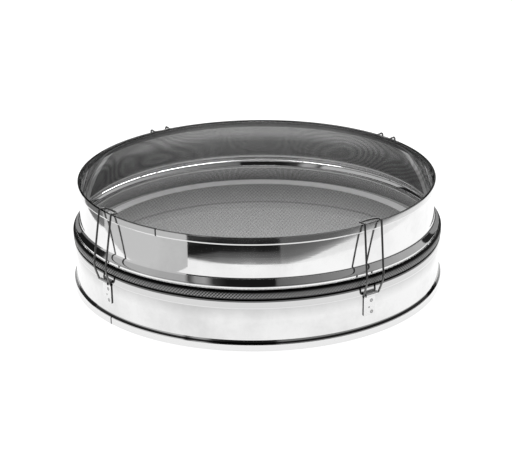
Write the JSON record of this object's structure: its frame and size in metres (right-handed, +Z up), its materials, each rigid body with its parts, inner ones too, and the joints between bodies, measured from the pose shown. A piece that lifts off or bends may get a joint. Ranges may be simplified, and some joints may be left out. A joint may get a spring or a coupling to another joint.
{
  "type": "tamis drum sieve",
  "caption": "Drum sieve of two polished steel hoops clamping an exchangeable flat mesh insert, held together by hinged spring-wire clips that hook over the rim.",
  "frame": {"origin": "on the drum's axis, at the bottom face that it stands on", "axes": "+Z up along the drum's axis, -Y towards the viewer of the picture, +X to the viewer's right"},
  "size_m": [0.3142, 0.3142, 0.0928],
  "materials": {
    "polished_steel": "bright polished stainless steel sheet",
    "woven_wire": "fine plain-woven stainless wire cloth",
    "spring_wire": "drawn spring-steel wire, dull",
    "plate_steel": "plain stainless sheet with spot-weld marks"
  },
  "bodies": {
    "base": {"lower_hoop": "polished_steel", "lower_top_band": "polished_steel", "base_rim_band": "polished_steel", "hinge_plate_front_right": "plate_steel", "hinge_plate_back_right": "plate_steel", "hinge_plate_back_left": "plate_steel", "hinge_plate_front_left": "plate_steel"},
    "mesh_insert": {"mesh_ring": "polished_steel", "mesh_ring_core": "spring_wire", "mesh_cloth": "woven_wire", "mesh_cloth_edge": "woven_wire"},
    "upper": {"upper_hoop": "polished_steel", "upper_rim_band": "polished_steel"},
    "clip_front_right": {"clip_front_right": "spring_wire"},
    "clip_back_right": {"clip_back_right": "spring_wire"},
    "clip_back_left": {"clip_back_left": "spring_wire"},
    "clip_front_left": {"clip_front_left": "spring_wire"}
  },
  "joints": [
    {"name": "upper_hoop_lift", "type": "slide", "parent": "base", "child": "upper", "axis": [0, 0, 1], "range_m": [0, 0.016]},
    {"name": "mesh_lift", "type": "slide", "parent": "base", "child": "mesh_insert", "axis": [0, 0, 1], "range_m": [0, 0.008]},
    {"name": "clip_swing_front_right", "type": "hinge", "parent": "base", "child": "clip_front_right", "pos_m": [0.08696, -0.13138, 0.0356], "axis": [0.8339, 0.5519, 0], "range_deg": [0, 130]},
    {"name": "clip_swing_back_right", "type": "hinge", "parent": "base", "child": "clip_back_right", "pos_m": [0.12432, 0.09678, 0.0356], "axis": [-0.6143, 0.7891, 0], "range_deg": [0, 130]},
    {"name": "clip_swing_back_left", "type": "hinge", "parent": "base", "child": "clip_back_left", "pos_m": [-0.09327, 0.12697, 0.0356], "axis": [-0.8059, -0.592, 0], "range_deg": [0, 130]},
    {"name": "clip_swing_front_left", "type": "hinge", "parent": "base", "child": "clip_front_left", "pos_m": [-0.12122, -0.10064, 0.0356], "axis": [0.6388, -0.7694, 0], "range_deg": [0, 130]}
  ],
  "couplings": [
    {"joint": "mesh_lift", "follows": "upper_hoop_lift", "ratio": 0.5},
    {"joint": "clip_swing_front_right", "follows": "upper_hoop_lift", "rad_per_m": 141.8},
    {"joint": "clip_swing_back_right", "follows": "upper_hoop_lift", "rad_per_m": 141.8},
    {"joint": "clip_swing_back_left", "follows": "upper_hoop_lift", "rad_per_m": 141.8},
    {"joint": "clip_swing_front_left", "follows": "upper_hoop_lift", "rad_per_m": 141.8}
  ]
}
